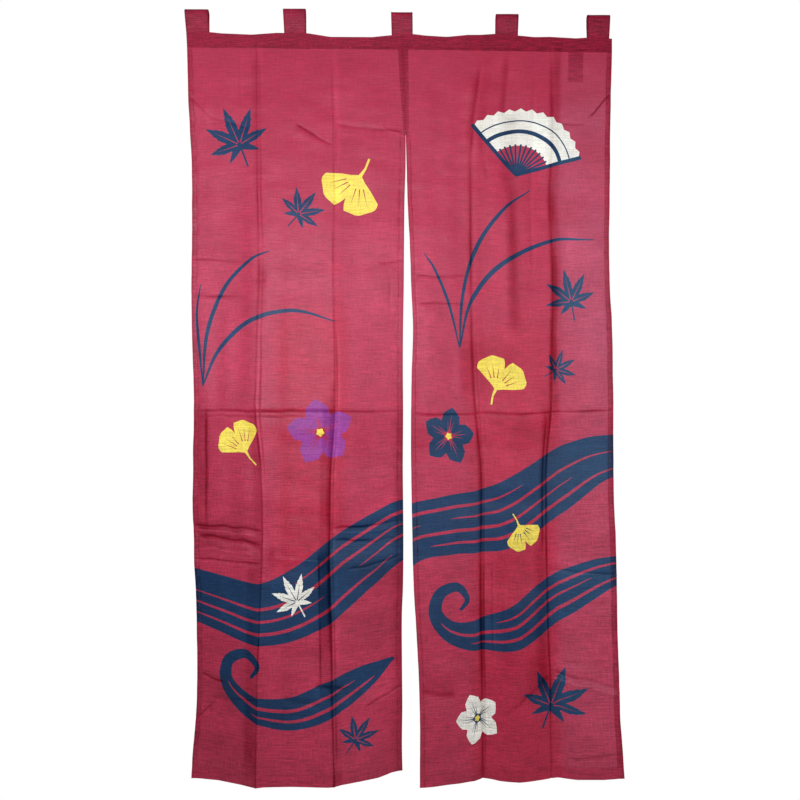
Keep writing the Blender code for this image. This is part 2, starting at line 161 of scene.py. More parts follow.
# Fine pressed creases that run down: the packing folds and their doubles, in flat places.
FINE_FOLDS = [Fold(*row) for row in (
    (-284, 40, 800, 1.1, 2.1), (-284, 750, 1600, 1.8, 2.1), (-278, 60, 760, -1.2, 2.2),
    (-275, 620, 940, 1.2, 2.1), (-134, 80, 800, 0.9, 2.1), (-134, 750, 1600, 1.8, 2.1),
    (-128, 620, 1500, -1.4, 2.1), (-158, 1040, 1372, 1.9, 2.3), (-397, 770, 1030, -2.0, 3.4),
    (-318, 60, 230, 0.9, 3.0), (-26, 500, 610, -1.0, 2.4), (-130, 196, 330, 1.4, 2.2),
    (150, 200, 840, -1.7, 3.4), (150, 780, 1600, -2.0, 2.1), (157, 560, 1500, 1.3, 2.2),
    (169, 780, 870, 1.1, 2.6), (179, 1060, 1300, 1.6, 2.4), (204, 1120, 1230, 1.0, 3.0),
    (300, 60, 790, -1.3, 4.0), (300, 740, 1600, -2.0, 2.1), (312, 300, 760, 1.0, 6.0),
    (291, 780, 1080, 1.5, 2.1), (152, 70, 260, 1.4, 5.0), (228, 320, 640, -0.8, 9.0),
    (203, 70, 210, -1.4, 6.0), (268, 120, 520, 1.1, 5.0), (330, 60, 160, 1.0, 3.0))]

# A crease longer than this wanders less. A fold narrower than this is a packing fold, given a painted dark
# line and no painted highlight. Pressed lines wider than this are too soft for the faces to follow.
LONG_CREASE, PACKED_WIDTH, WIDEST_PRESSED = 200, 2.35, 4.6
# The lines of points that follow a pressed line: how many widths away, and the step along them.
RIDGE_LINES, RIDGE_STEP = (-1.7, -0.6, 0.0, 0.6, 1.7), 7.0
# The most painted light that the painted shading may give.
PALEST = 0.5

Shade = namedtuple("Shade", "left right top bottom soft dark")
# Painted shade and painted light: boxes painted darker as the shade of folds, creases and doubled strips, and
# paler,
# with dark below 0, as painted light: a box in flat places, how soft its sides are, and how dark it is.
PAINTED_SHADES = [Shade(*row) for row in (
    (-157, -135, 1050, 1372, 3, 0.42), (-156, -138, 760, 1080, 8, 0.30), (-141, -133, 730, 1420, 3, 0.46),
    (-136, -118, 1330, 1524, 7, 0.40), (-270, -254, 1060, 1100, 10, 0.40),
    (-162, -142, 1070, 1104, 9, 0.40), (-312, -286, 1090, 1524, 12, 0.45), (-302, -286, 800, 1090, 9, 0.28),
    (-412, -394, 790, 1060, 9, 0.30), (-296, -276, 90, 330, 9, 0.16), (-212, -148, 1336, 1366, 16, 0.32),
    (-150, -108, 1318, 1346, 14, 0.36), (-404, -312, 1110, 1240, 26, -0.08),
    (-414, -296, 1044, 1064, 14, 0.30), (-414, -300, 1016, 1034, 14, 0.20),
    (-425, -290, 1470, 1560, 20, -0.22), (144, 156, 820, 1524, 6, 0.50), (144, 156, 300, 820, 8, 0.20),
    (194, 208, 84, 200, 9, 0.36), (206, 232, 190, 340, 13, 0.34), (216, 240, 330, 620, 14, 0.28),
    (-288, -270, 500, 592, 8, 0.34), (136, 152, 130, 270, 9, 0.26), (306, 320, 66, 180, 7, 0.32),
    (-4, 4, 60, 236, 3, 0.30), (-425, -300, 60, 740, 40, -0.18), (188, 214, 150, 560, 12, -0.16),
    (262, 292, 200, 640, 12, -0.18), (154, 161, 240, 1040, 3, -0.24), (-281, -274, 60, 1040, 3, -0.24),
    (-131, -121, 60, 1300, 4, -0.26), (-260, -236, 1060, 1320, 10, -0.12),
    (-390, -350, 760, 1010, 14, -0.14), (-60, -20, 760, 980, 14, -0.12), (330, 400, 420, 760, 20, -0.14),
    (60, 130, 560, 760, 20, 0.10), (297, 316, 100, 790, 11, 0.44), (284, 300, 780, 1060, 6, 0.34),
    (272, 299, 1050, 1350, 22, 0.36), (250, 292, 1270, 1345, 24, 0.30), (190, 262, 1060, 1320, 34, 0.12),
    (0, 78, 1330, 1352, 44, 0.28), (150, 172, 60, 260, 10, 0.14), (318, 420, 1080, 1430, 24, -0.24),
    (-204, -110, 1240, 1380, 30, -0.12), (-204, -4, 1290, 1500, 40, -0.26), (-96, 60, 430, 740, 30, -0.14),
    (120, 225, 650, 750, 24, 0.24), (-96, 110, 800, 880, 30, 0.16), (-425, -312, 540, 750, 30, -0.14),
    (-96, -6, 940, 1090, 30, -0.20), (-300, -208, 1130, 1230, 24, -0.16),
    (-204, -104, 1270, 1470, 30, -0.10), (330, 420, 290, 480, 30, -0.18), (326, 420, 1370, 1480, 30, -0.12),
    (225, 330, 800, 890, 24, 0.12))]

Tab = namedtuple("Tab", "name top_left top_right base_left base_right top")
TABS = [
    Tab("tab_1", -431, -384, -427, -381, 15.0),
    Tab("tab_2", -234, -189, -231, -187, 16.5),
    Tab("tab_3", -18, 25, -16, 26, 9.2),
    Tab("tab_4", 192, 237, 190, 236, 5.4),
    Tab("tab_5", 375, 420, 374, 419, 3.8)]

# A panel: its side of the seam, its levels, its hem and the flat places of its four lines.
Panel = namedtuple("Panel", "node side levels hem flat")
PANELS = [Panel("left_panel", -1, LEFT_LEVELS, LEFT_HEM, (-EDGE, -284, -134, 0)),
          Panel("right_panel", 1, RIGHT_LEVELS, RIGHT_HEM, (0, 150, 300, EDGE))]

# Dyes, as linear colours.
CRIMSON = (0.490, 0.033, 0.082)
NAVY = (0.009, 0.040, 0.114)
YELLOW = (0.96, 0.77, 0.110)
IVORY = (0.95, 0.925, 0.855)
PURPLE = (0.34, 0.043, 0.315)


# Reading the tables

def straight(points, places):
    """Read (place, value) pairs in straight runs."""
    return np.interp(places, *np.array(points, float).T)


def smooth(knots, values, places):
    """Read values along one smooth curve through their knots."""
    places = np.clip(places, knots[0], knots[-1])
    index = np.clip(np.searchsorted(knots, places, side="left") - 1, 0, len(knots) - 2)
    before = np.maximum(np.arange(len(knots)) - 1, 0)
    after = np.minimum(np.arange(len(knots)) + 1, len(knots) - 1)
    slopes = (values[after] - values[before]) / (knots[after] - knots[before])
    run = knots[index + 1] - knots[index]
    step = (places - knots[index]) / run
    cube, square = step ** 3, step ** 2
    return (values[index] * (2 * cube - 3 * square + 1) + slopes[index] * run * (cube - 2 * square + step)
            + values[index + 1] * (3 * square - 2 * cube) + slopes[index + 1] * run * (cube - square))


def rise(value):
    """Go smoothly from 0 to 1 as the value does."""
    value = np.clip(value, 0, 1)
    return value * value * (3 - 2 * value)


def window(value, start, end, soft, soft_end=None):
    """1 between a start and an end, and 0 outside, with soft sides that lie inside them."""
    return rise((value - start) / soft) * rise((end - value) / (soft_end or soft))


def bell(away, width):
    """1 in the middle of a line, and less with the distance from it."""
    return np.exp(-(away / width) ** 2)


def level_lines(panel, drop):
    """The x and the forward place of a panel's four lines at each drop, as rows of four."""
    knots, *columns = np.array(panel.levels, float).T
    lines = [np.where(drop <= SEAM_END, np.interp(drop, knots, column), smooth(knots, column, drop))
             for column in columns]
    return np.array(lines[:4]), np.array(lines[4:])


def between(lines, share):
    """Read four values per point at a share of the width from 0 to 3."""
    share = np.clip(share, 0, 3)
    index = np.clip(share.astype(int), 0, 2)
    low = np.take_along_axis(lines, index[None], 0)[0]
    high = np.take_along_axis(lines, index[None] + 1, 0)[0]
    return low + (high - low) * (share - index)


def height(x, drop, hem):
    """Height of the cloth between its uneven heading and its uneven hem."""
    top, band, bottom = straight(HEADING_TOP, x), straight(HEADING_BOTTOM, x), straight(hem, x)
    above = top + (band - top) * (drop - TOP) / (BAND - TOP)
    below = band + (bottom - band) * (drop - BAND) / (BOTTOM - BAND)
    return -np.where(drop < BAND, above, below)


def noise(seed, size_x, size_y):
    """A smooth field of bumps from -1 to 1, with the given sizes across and down."""
    cells = 97
    table = np.random.default_rng(seed).uniform(-1, 1, (cells, cells))

    def read(x, y):
        across, down = x / size_x + 500.37, y / size_y + 500.61
        column, row = np.floor(across).astype(int), np.floor(down).astype(int)
        part_x, part_y = rise(across - column), rise(down - row)
        upper, lower = [table[(row + j) % cells, column % cells] * (1 - part_x)
                        + table[(row + j) % cells, (column + 1) % cells] * part_x for j in (0, 1)]
        return upper * (1 - part_y) + lower * part_y
    return read


BUCKLE = noise(11, 90, 34)
RIPPLE = noise(12, 34, 15)
FLUTTER = noise(13, 26, 210)
# Uneven strength along the pressed lines, the painted light and shade, and the thin weave.
UNEVEN = noise(14, 60, 60)
PUCKER = noise(15, 7, 11)
WANDER = noise(16, 21, 45)


# The cloth's shape

def run_along(crease, x):
    """How far along a crease each x is, from 0 to 1 between its ends, and the drop of its line there."""
    along = (x - crease.x_1) / (crease.x_2 - crease.x_1)
    return along, crease.drop_1 + (crease.drop_2 - crease.drop_1) * along


def crease_out(x, drop):
    """The broad folds of the solids."""
    out = np.zeros_like(x)
    for crease in CREASES:
        along, middle = run_along(crease, x)
        ridge = np.maximum(0, 1 - np.abs(drop - middle) / crease.reach)
        out += crease.out * window(along, -0.1, 1.1, 0.2) * ridge
    for gather in GATHERS:
        along = (drop - gather.drop_1) / (gather.drop_2 - gather.drop_1)
        out += gather.out * window(along, 0, 1, 0.3) * bell(x - gather.x, gather.width)
    return out * rise((drop - BAND) / 120)


def seam_hold(x, drop):
    """0 along the sewn seam in the middle, and 1 away from it."""
    return np.maximum(rise((np.abs(x - 8) - 12) / 50), rise((drop - SEAM_END) / 120))


def crease_middle(crease, flat_x):
    """The drop of a fine crease's line at each flat x."""
    wander = 0.8 if abs(crease.x_2 - crease.x_1) > LONG_CREASE else 2.6
    return run_along(crease, flat_x)[1] + wander * WANDER(flat_x, crease.drop_1)


def fold_middle(fold, drop):
    """The flat x of a fine fold's line at each drop."""
    return fold.x - 1.6 * FLUTTER(fold.x, drop)


def pressed_lines(flat_x, drop):
    """For each pressed line: height, half width, strength, how many widths away it is, and if it takes
    painted shade with no painted highlight.
    """
    for crease in FINE_CREASES:
        along, _ = run_along(crease, flat_x)
        ends = window(along, -0.04, 1.04, 0.14) * (0.8 + 0.35 * UNEVEN(flat_x, drop))
        yield crease.out, crease.reach, ends, (drop - crease_middle(crease, flat_x)) / crease.reach, False
    for fold in FINE_FOLDS:
        ends = window(drop, fold.drop_1, fold.drop_2, 60) * (0.8 + 0.35 * UNEVEN(flat_x, drop * 0.4))
        away = (flat_x - fold_middle(fold, drop)) / fold.width
        yield fold.out, fold.width, ends, away, fold.width < PACKED_WIDTH


def hem_inside(flat_x, drop):
    """How far a place is from the stitching of the nearest hem: at the sides and at the foot."""
    slit = np.where(drop > SEAM_END, np.abs(flat_x), EDGE)
    return np.minimum(np.abs(np.abs(flat_x) - EDGE), slit) - SIDE_HEM, FOOT - drop


def fine_out(flat_x, drop):
    """Pressed creases, small buckles, and the groove and puckers of the hems' stitching."""
    out = np.zeros_like(flat_x)
    for high, _, ends, away, _ in pressed_lines(flat_x, drop):
        out += high * ends * np.exp(-np.abs(away) ** 1.3)
    below = rise((drop - BAND) / 70)
    out += below * (1.3 * BUCKLE(flat_x, drop) + 0.45 * RIPPLE(flat_x, drop) + 1.3 * FLUTTER(flat_x, drop))
    side, foot = hem_inside(flat_x, drop)
    puckers = PUCKER(flat_x, drop) * np.maximum(rise(1 - np.abs(side) / 24), rise(1 - np.abs(foot) / 26))
    return out + 0.5 * below * (puckers - np.maximum(bell(side, 1.6), bell(foot, 1.8)))


def painted_light_and_shade(flat_x, drop):
    """Painted light and shade on the cloth: painted shade at pressed lines and along the stitching, darker
    edges, painted highlights on ridges, and the boxes of painted shade and light. 1 is darkest, under 0 is
    painted light.
    """
    dark, pale = np.zeros_like(flat_x), np.zeros_like(flat_x)
    for high, width, ends, away, painted_dark in pressed_lines(flat_x, drop):
        spread = max(1.5, 0.7 * width)
        strength = min(abs(high) / 1.8, 1.0) * ends * (0.8 + 0.5 * RIPPLE(flat_x * 0.6, drop * 0.3))
        strength = strength * min(1.0, 5.0 / width)
        line = strength * bell(away * width, spread)
        # A ridge gets a painted highlight on its line and a painted shade line beside it; other lines get
        # painted shade.
        if high > 0 and not painted_dark:
            pale = np.maximum(pale, 0.5 * line)
            line = 0.6 * strength * bell(away * width + 1.6 * spread, spread)
        dark = np.maximum(dark, line)
    # Painted shade in the grooves of the hem stitching and of the heading's seam, and darker along the outer
    # edges and the slit's edges.
    side, foot = hem_inside(flat_x, drop)
    below = rise((drop - BAND) / 20)
    broken = 0.55 + 0.45 * PUCKER(flat_x, drop)
    stitch_shade = np.maximum(0.6 * bell(side, 1.3), 0.2 * bell(foot, 1.5)) * broken * below
    band_seam_shade = 0.4 * bell(drop - BAND + 2.2, 1.6) * broken
    rim = 0.30 * rise((np.abs(flat_x) - EDGE + 6.5) / 3)
    rim = (rim + 0.20 * (drop > SEAM_END) * rise((3.5 - np.abs(flat_x)) / 2)) * below
    tone = np.maximum.reduce([dark, stitch_shade, band_seam_shade, rim]) - pale
    # The boxes of painted shade, and of painted light where dark is below 0.
    for shade in PAINTED_SHADES:
        half = shade.soft / 2
        box = window(flat_x, shade.left - half, shade.right + half, shade.soft)
        box = box * window(drop, shade.top - 25, shade.bottom + 25, 50)
        tone += shade.dark * box * (0.8 + 0.5 * UNEVEN(flat_x * 1.7, drop))
    return np.clip(tone, -PALEST, 1)


def panel_places(panel, flat_x, drop):
    """Where flat places of a panel hang: x, y and z of the front face, in millimetres."""
    share = np.interp(flat_x, panel.flat, (0, 1, 2, 3))
    places, depths = level_lines(panel, drop)
    x = between(places, share)
    x -= panel.side * SEAM_CLOSE * np.where(drop <= SEAM_END, rise(1 - np.abs(flat_x) / 6), 0.0)
    shifts = (-FOLD_SOFTNESS, 0, 0, FOLD_SOFTNESS)
    out = sum(between(depths, share + shift) for shift in shifts) / len(shifts)
    out += (crease_out(x, drop) + fine_out(flat_x, drop)) * seam_hold(x, drop)
    return np.stack([x, PANEL_FRONT - out, height(x, drop, panel.hem)], axis=1)


# The printed design, as outlines in flat places

def polar(radius, angle):
    """A point at a radius and an angle in degrees."""
    return radius * math.cos(math.radians(angle)), radius * math.sin(math.radians(angle))


def placed(shapes, x, drop, turn, size):
    """Turn, size and place a motif's (dye, outline, angle) rows. In an outline, y runs up."""
    printed = []
    for dye, outline, angle in shapes:
        over, up = polar(size, turn + angle)
        printed.append((dye, [(x + px * over - py * up, drop - px * up - py * over) for px, py in outline]))
    return printed


def arc(radius, start, end, count):
    """Points along an arc, between two angles in degrees."""
    return [polar(radius, start + (end - start) * step / count) for step in range(count + 1)]


def spline(points, count):
    """A smooth line through a few points."""
    table = np.array(points, float)
    knots = np.arange(len(table), dtype=float)
    places = np.linspace(0, len(table) - 1, (len(table) - 1) * count + 1)
    return np.stack([smooth(knots, column, places) for column in table.T], axis=1)


def sideways(line):
    """A unit vector across a line at each of its points."""
    along = np.gradient(line, axis=0)
    along /= np.linalg.norm(along, axis=1)[:, None]
    return np.stack([-along[:, 1], along[:, 0]], axis=1)


def ribbon(points, count=12):
    """A band along a smooth line through (x, drop, width) rows."""
    line = spline(points, count)
    across = sideways(line[:, :2]) * line[:, 2:] / 2
    return [tuple(p) for p in np.concatenate([line[:, :2] + across, (line[:, :2] - across)[::-1]])]


def maple_leaf():
    """A leaf of seven pointed, toothed lobes joined in a palm, with its stalk: a radius of 1."""
    lobes = [(-126, 0.54), (-84, 0.82), (-42, 0.96), (0, 1.0), (42, 0.96), (84, 0.82), (126, 0.54)]
    half = [(0.50, 0.135), (0.60, 0.137), (0.62, 0.110), (0.75, 0.100), (0.77, 0.072), (0.89, 0.042)]
    lobe = half + [(1.0, 0.0)] + [(along, -wide) for along, wide in reversed(half)]
    points = [(-0.05, -0.58), (-0.025, -0.14)]
    for number, (angle, reach) in enumerate(lobes):
        over, up = polar(reach, 90 - angle)
        points += [(along * over - wide * up, along * up + wide * over) for along, wide in lobe]
        if number < len(lobes) - 1:
            next_angle, next_reach = lobes[number + 1]
            points.append(polar(0.19 * (reach + next_reach), 90 - (angle + next_angle) / 2))
    return points + [(0.025, -0.14), (0.0, -0.58)]


def ginkgo_leaf():
    """A fan-shaped leaf with a notch and a bent stalk: a height of about 1 above its neck."""
    rim = []
    for step in range(33):
        angle = 153 - 126 * step / 32
        reach = 1 - 0.34 * math.exp(-((angle - 90) / 4.5) ** 2) - 0.17 * abs((angle - 90) / 63) ** 5
        rim.append(polar(reach + 0.018 * math.sin(math.radians(angle * 13)), angle))
    left = [(0.03, -0.50), (-0.03, -0.22), (-0.045, 0.0), (-0.20, 0.10), (-0.44, 0.21)]
    return left + rim + [(0.44, 0.21), (0.20, 0.10), (0.045, 0.0), (0.02, -0.22), (0.08, -0.48)]


def petal_tips():
    """The angles of a flower's five petals."""
    return range(90, 450, 72)


def bellflower(reach=1.0, waist=0.60):
    """A flower of five broad pointed petals."""
    petal = ((-36, waist), (-24, 0.80), (-11, 0.90), (0, 1.0), (11, 0.90), (24, 0.80))
    return [polar(reach * share, tip + offset) for tip in petal_tips() for offset, share in petal]


# Half the width of a leaf's vein at its start.
LEAF_LINE = 1.1


def veins(dye, start, size, rows):
    """Thin tapering lines left open in a motif, for rows of their angle, length and half width."""
    return [(dye, [(start, wide / size), (start, -wide / size), (length, 0.0)], angle)
            for angle, length, wide in rows]


def maple(x, drop, turn, size, dye=NAVY, vein_dye=CRIMSON):
    """A printed maple leaf."""
    lines = ((174, 0.62), (132, 0.76), (90, 0.80), (48, 0.76), (6, 0.62))
    rows = [(angle, length, LEAF_LINE) for angle, length in lines]
    return placed([(dye, maple_leaf(), 0)] + veins(vein_dye, 0.06, size, rows), x, drop, turn, size)


def ginkgo(x, drop, turn, size, dye=YELLOW, vein_dye=CRIMSON):
    """A printed ginkgo leaf."""
    rows = [(90 + bend, 0.80, LEAF_LINE) for bend in (-14, -29, -44, 14, 29, 44)]
    return placed([(dye, ginkgo_leaf(), 0)] + veins(vein_dye, 0.34, size, rows), x, drop, turn, size)


def flower(x, drop, turn, size, dye, line_dye, heart_dye):
    """A printed bellflower with lines in its petals and a small heart."""
    lines = ((0, 0.78, 1.2), (-13, 0.60, 0.9), (13, 0.60, 0.9))
    rows = [(tip + offset, length, wide) for tip in petal_tips() for offset, length, wide in lines]
    shapes = [(dye, bellflower(), 0)] + veins(line_dye, 0.16, size, rows)
    shapes += [(line_dye, arc(0.17, 0, 360 - 360 / 28, 27), 0), (heart_dye, bellflower(0.13, 0.7), 36)]
    return placed(shapes, x, drop, turn, size)


def fan(x, drop, turn, radius):
    """A printed folding fan: its paper with a toothed edge, and its ribs."""
    spread, folds, inner = 118, 12, 0.44
    start, end = 90 - spread / 2, 90 + spread / 2
    teeth = 2 * folds
    rim = [polar(1.0 if step % 2 else 0.955, start + spread * step / teeth) for step in range(teeth + 1)]
    shapes = [(IVORY, rim + arc(inner, end, start, 20), 0)]
    for step in range(folds + 1):
        half, length = (1.7 / 60, 1.0) if step in (0, folds) else (0.8 / 60, 0.46)
        rib = [(-0.02, -half), (length, -half), (length, half), (-0.02, half)]
        shapes.append((NAVY, rib, start + spread * step / folds))
    for low, high in ((0.62, 0.68), (0.80, 0.82)):
        shapes.append((NAVY, arc(high, start + 2, end - 2, 24) + arc(low, end - 2, start + 2, 24), 0))
    return placed(shapes, x, drop, turn, radius)


def stream(points, cuts):
    """A band of water through (x, drop, width) rows, with lines of the ground left open along it.

    Each cut has its place across from -1 to 1, its start and end along from 0 to 1, and its width.
    """
    count = 14
    line = spline(points, count)
    across = sideways(line[:, :2]) * line[:, 2:] / 2
    shapes = [(NAVY, ribbon(points, count))]
    for place, start, end, width in cuts:
        first, last = round(start * (len(line) - 1)), round(end * (len(line) - 1))
        middle = (line[:, :2] + across * place)[first:last + 1]
        widths = 0.5 + width * np.sin(np.pi * np.linspace(0, 1, len(middle))) ** 0.6
        shapes.append((CRIMSON, ribbon(np.column_stack([middle, widths]), 1)))
    return shapes


def stream_shapes():
    """Flowing water: three broad navy bands, two of which end in a curl."""
    main = [(490, 868, 60), (385, 884, 96), (285, 948, 122), (185, 1000, 128), (85, 1012, 118),
            (-5, 1030, 112), (-90, 1086, 122), (-175, 1152, 132), (-265, 1188, 124), (-350, 1178, 112),
            (-490, 1138, 96)]
    right = [(490, 1096, 30), (400, 1112, 66), (310, 1162, 86), (225, 1216, 84), (140, 1234, 62),
             (80, 1224, 44), (46, 1188, 32), (58, 1148, 24), (96, 1136, 18), (118, 1160, 12), (102, 1182, 6)]
    left = [(-16, 1290, 5), (-62, 1312, 42), (-132, 1350, 66), (-215, 1382, 64), (-300, 1370, 46),
            (-352, 1330, 32), (-352, 1286, 24), (-314, 1268, 18), (-286, 1290, 12), (-300, 1314, 6)]
    main_cuts = [(-0.62, 0.05, 0.46, 6), (-0.22, 0.14, 0.60, 6), (0.20, 0.06, 0.40, 5), (0.58, 0.22, 0.72, 6),
                 (-0.64, 0.54, 0.97, 6), (0.16, 0.47, 0.97, 6), (-0.24, 0.68, 0.99, 5)]
    right_cuts = [(-0.5, 0.04, 0.42, 6), (0.05, 0.12, 0.56, 6), (0.5, 0.02, 0.34, 5)]
    left_cuts = [(-0.45, 0.10, 0.44, 6), (0.2, 0.16, 0.56, 6)]
    return stream(main, main_cuts) + stream(right, right_cuts) + stream(left, left_cuts)


def grass_shapes():
    """Long blades of grass that lean over the design."""
    blades = [
        [(118, 660, 3), (146, 572, 8), (206, 492, 9), (296, 446, 7), (392, 442, 2)],
        [(118, 660, 3), (128, 556, 8), (164, 452, 8), (214, 380, 6), (262, 344, 2)],
        [(118, 660, 3), (92, 572, 7), (60, 506, 6), (34, 474, 2)],
        [(-404, 742, 3), (-368, 672, 8), (-300, 612, 9), (-214, 592, 7), (-132, 612, 2)],
        [(-404, 742, 3), (-392, 636, 8), (-356, 546, 8), (-304, 492, 6), (-264, 474, 2)],
        [(-404, 742, 3), (-410, 660, 6), (-414, 596, 5), (-406, 540, 2)]]
    return [(NAVY, ribbon(blade)) for blade in blades]


def design():
    """Every printed shape, in painting order, as (dye, outline)."""
    motifs = [
        (maple, -322, 262, 24, 80), (maple, -204, 400, -38, 56), (ginkgo, -84, 322, 148, 78),
        (maple, 340, 566, 14, 66), (maple, 310, 704, -60, 44), (ginkgo, 192, 742, -24, 66),
        (ginkgo, -312, 872, 30, 62), (fan, 236, 312, -16, 132),
        (flower, -160, 832, 10, 66, PURPLE, CRIMSON, YELLOW),
        (flower, 84, 836, -12, 58, NAVY, CRIMSON, YELLOW),
        (maple, -206, 1164, 32, 58, IVORY, NAVY), (ginkgo, 236, 1010, 205, 52, YELLOW, NAVY),
        (maple, 300, 1376, -20, 82), (flower, 138, 1400, 20, 52, IVORY, NAVY, YELLOW),
        (maple, -92, 1440, -34, 50)]
    shapes = grass_shapes() + stream_shapes()
    for motif, *place in motifs:
        shapes += motif(*place)
    return shapes


# Cutting the cloth along its hems and its print

def run_of_points(x_1, y_1, x_2, y_2, step=GRID):
    """Even points along a straight line."""
    count = max(1, math.ceil(math.hypot(x_2 - x_1, y_2 - y_1) / step))
    return np.linspace((x_1, y_1), (x_2, y_2), count + 1)


def dense(outline):
    """Add points to an outline so that no side is long."""
    return np.concatenate([run_of_points(*a, *b)[:-1] for a, b in zip(outline, outline[1:] + outline[:1])])


def inside(outline, x, y):
    """The numbers of the points that lie inside an outline."""
    shape = np.array(outline)
    (left, top), (right, bottom) = shape.min(axis=0), shape.max(axis=0)
    near = np.nonzero((x >= left) & (x <= right) & (y >= top) & (y <= bottom))[0]
    px, py = x[near], y[near]
    odd = np.zeros(len(near), bool)
    for (x_1, y_1), (x_2, y_2) in zip(shape, np.roll(shape, -1, axis=0)):
        crosses = (y_1 > py) != (y_2 > py)
        if crosses.any():
            odd ^= crosses & (px < (x_2 - x_1) * (py - y_1) / (y_2 - y_1 + 1e-12) + x_1)
    return near[odd]


def guide_lines(panel):
    """Lines that the cloth's faces follow: its edges, hems, heading and pressed creases."""
    left, *_, right = panel.flat
    ends = [(left, drop, right, drop) for drop in (TOP, BOTTOM, BAND, FOOT - 1.5, FOOT, FOOT + 1.5)]
    for place in (0, SIDE_HEM - 1.5, SIDE_HEM, SIDE_HEM + 1.5):
        ends += [(x, TOP, x, BOTTOM) for x in (left + place, right - place)]
    box = [(LABEL.left, BAND), (LABEL.left, LABEL.bottom), (LABEL.right, LABEL.bottom), (LABEL.right, BAND)]
    lines = [run_of_points(*start, *end) for start, end in zip(box, box[1:])]
    seam = run_of_points(0, BAND, 0, SEAM_END)[:, 1]
    lines.append(np.column_stack([panel.side * seam_width(seam, panel.side), seam]))
    for crease in FINE_CREASES:
        x = run_of_points(crease.x_1, 0, crease.x_2, 0, RIDGE_STEP)[:, 0]
        for shift in RIDGE_LINES:
            if crease.reach < WIDEST_PRESSED:
                drop = crease_middle(crease, x) + shift * crease.reach
                lines.append(np.column_stack([np.clip(x, left, right), drop]))
    for fold in FINE_FOLDS:
        drop = run_of_points(0, max(fold.drop_1, TOP), 0, min(fold.drop_2, BOTTOM), RIDGE_STEP)[:, 1]
        for shift in RIDGE_LINES:
            if fold.width < WIDEST_PRESSED:
                lines.append(np.column_stack([fold_middle(fold, drop) + shift * fold.width, drop]))
    lines = [line for line in lines if line[:, 0].max() > left and line[:, 0].min() < right]
    return [run_of_points(*four) for four in ends] + lines


def cut_cloth(panel, shapes):
    """Flat points and triangles of a panel, cut along its hems and its print."""
    left, *_, right = panel.flat
    points, edges = [], []

    def add_line(line, sides):
        first, count = len(points), len(line)
        points.extend(line.tolist())
        edges.extend((first + step, first + (step + 1) % count) for step in range(sides))

    for _, outline in shapes:
        line = dense(outline)
        if line[:, 0].max() >= left and line[:, 0].min() <= right:
            line[:, 0] = np.clip(line[:, 0], left, right)
            add_line(line, len(line))
    for line in guide_lines(panel):
        add_line(line, len(line) - 1)
    tree = kdtree.KDTree(len(points))
    for index, (x, y) in enumerate(points):
        tree.insert((x, y, 0), index)
    tree.balance()
    columns = np.linspace(left, right, round((right - left) / GRID) + 1)[1:-1]
    rows = np.linspace(TOP, BOTTOM, round((BOTTOM - TOP) / GRID) + 1)[1:-1]
    for number, y in enumerate(rows):
        for x in columns + (GRID / 4 if number % 2 else -GRID / 4):
            if tree.find((x, y, 0))[2] > GRID * 0.42:
                points.append((x, y))
    made = delaunay_2d_cdt([Vector(point) for point in points], edges, [], 0, 1e-4)
    flat = np.array([tuple(point) for point in made[0]])
    faces = np.array([face for face in made[2] if len(face) == 3])
    middle = flat[faces].mean(axis=1)
    faces = faces[((middle > (left, TOP)) & (middle < (right, BOTTOM))).all(axis=1)]
    used, renumbered = np.unique(faces, return_inverse=True)
    return flat[used], renumbered.reshape(-1, 3)


def face_dyes(shapes, x, drop):
    """The dye of each face, the last shape over it being on top."""
    dyes = np.tile(CRIMSON, (len(x), 1))
    for dye, outline in shapes:
        dyes[inside(outline, x, drop)] = dye
    return dyes


def seam_width(drop, side):
    """Half the width of the darker strip along the seam at each drop."""
    top, low = SEAM_WIDTHS[side]
    return np.interp(drop, (TOP, 170, SEAM_END), (top, (top + low) / 2, low))


def heading_share(x):
    """How much darker the heading and the tabs read, from the left to the right: doubled cloth, with painted
    shade growing to the right.
    """
    return np.interp(x, (-EDGE - 5, EDGE + 5), HEADING_SHARE)


def layer_share(panel, x, drop):
    """How much darker the cloth reads where it lies double, from 0 to 1: partly two layers' deeper colour,
    partly painted shade, and the label's painted shadow.
    """
    slit = np.abs(x)
    # The first place of this list that holds a point gives its share.
    places = [
        # The label hanging behind casts a painted shadow through the cloth.
        ((x > LABEL.left) & (x < LABEL.right) & (drop < LABEL.bottom) & (drop >= BAND),
         np.interp(drop, (BAND, LABEL.bottom), LABEL_SHARE)),
        (drop < BAND, heading_share(x)),
        (drop > FOOT, FOOT_SHARE),
        ((slit < seam_width(drop, panel.side)) & (drop <= SEAM_END),
         np.interp(drop, (BAND, SEAM_END), SEAM_SHARE)),
        ((slit < SIDE_HEM) & (drop > SEAM_END), SLIT_HEM_SHARE),
        (slit > EDGE - SIDE_HEM, LEFT_HEM_SHARE if panel.side < 0 else RIGHT_HEM_SHARE)]
    return np.select(*zip(*places), 0.0)


def thin_share(panel, x, drop):
    """How much paler and more open the weave is, from 0 to 1, partly as painted light showing through: most
    in the right panel's outer third.
    """
    near_slit = 0.16 * rise((130 - np.abs(x)) / 40) * window(drop, 400, 780, 80, 60)
    if panel.side < 0:
        return near_slit + 0.20 * rise((-310 - x) / 40) * window(drop, 160, 780, 80, 60)
    inside_hem = (x < EDGE - SIDE_HEM) & (drop < FOOT)
    down = rise((drop - 30) / 170) * (1 - 0.45 * rise((drop - 680) / 200))
    return near_slit + inside_hem * rise((x - 298) / 28) * down * (0.8 + 0.3 * UNEVEN(x, drop))


